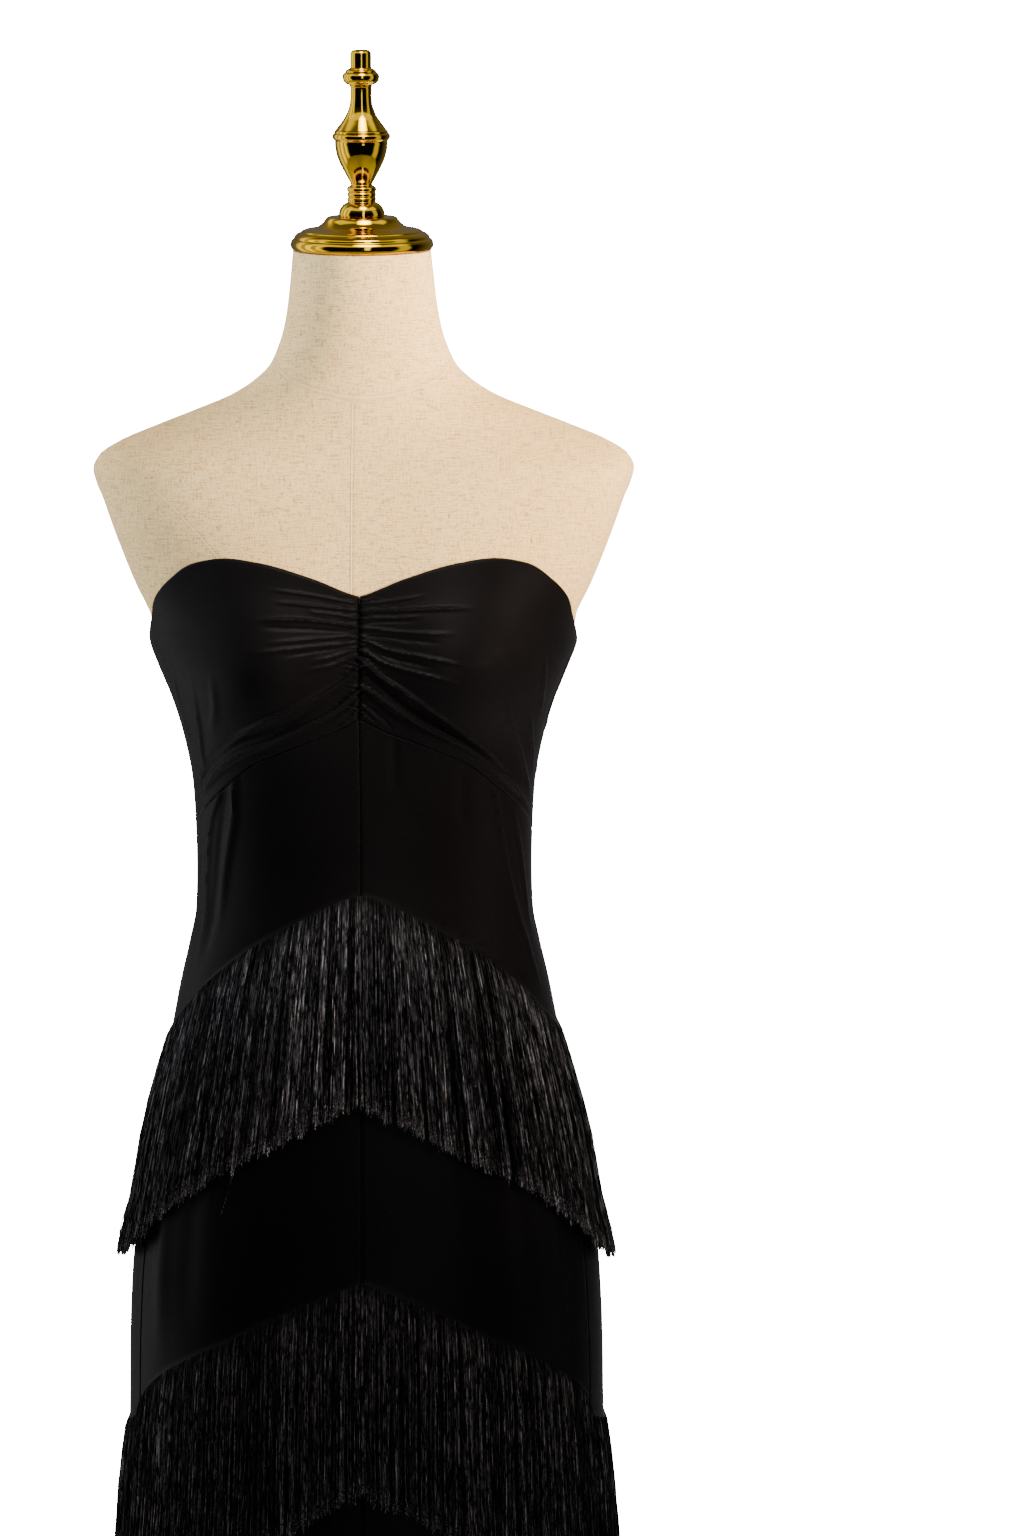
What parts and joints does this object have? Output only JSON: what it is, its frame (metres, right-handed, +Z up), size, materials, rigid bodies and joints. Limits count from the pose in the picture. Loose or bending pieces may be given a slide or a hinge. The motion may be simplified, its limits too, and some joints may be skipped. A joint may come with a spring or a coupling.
{
  "type": "fringe maxi dress on a dress form",
  "caption": "Strapless black jersey maxi dress with a gathered bodice and chevron tiers of long fringe, worn by a limbless linen dress form with a turned gold finial, on a round stand.",
  "frame": {"origin": "on the floor, under the middle of the round base, where the pole's axis meets it", "axes": "+Z up along the pole, -Y out of the dress's front, +X towards the wearer's left"},
  "size_m": [0.4474, 0.344, 1.6882],
  "materials": {
    "dress_jersey": "soft satin stretch jersey",
    "fringe_yarn": "glossy twisted rayon yarn",
    "form_linen": "matt slubby plain weave",
    "gold_fittings": "polished",
    "stand_metal": "polished"
  },
  "bodies": {
    "root": {"bodice_front_left": "dress_jersey", "bodice_front_right": "dress_jersey", "bodice_back": "dress_jersey", "midriff_front_left": "dress_jersey", "midriff_front_right": "dress_jersey", "midriff_back": "dress_jersey", "skirt_upper_front_left": "dress_jersey", "skirt_upper_front_right": "dress_jersey", "skirt_upper_back": "dress_jersey", "skirt_lower_front_left": "dress_jersey", "skirt_lower_front_right": "dress_jersey", "skirt_lower_back": "dress_jersey", "fringe_upper_front": "fringe_yarn", "fringe_upper_back": "fringe_yarn", "fringe_lower_front": "fringe_yarn", "fringe_lower_back": "fringe_yarn", "form_torso": "form_linen", "neck_cap": "gold_fittings", "finial": "gold_fittings", "stand_pole": "stand_metal", "stand_base": "stand_metal"}
  },
  "joints": []
}
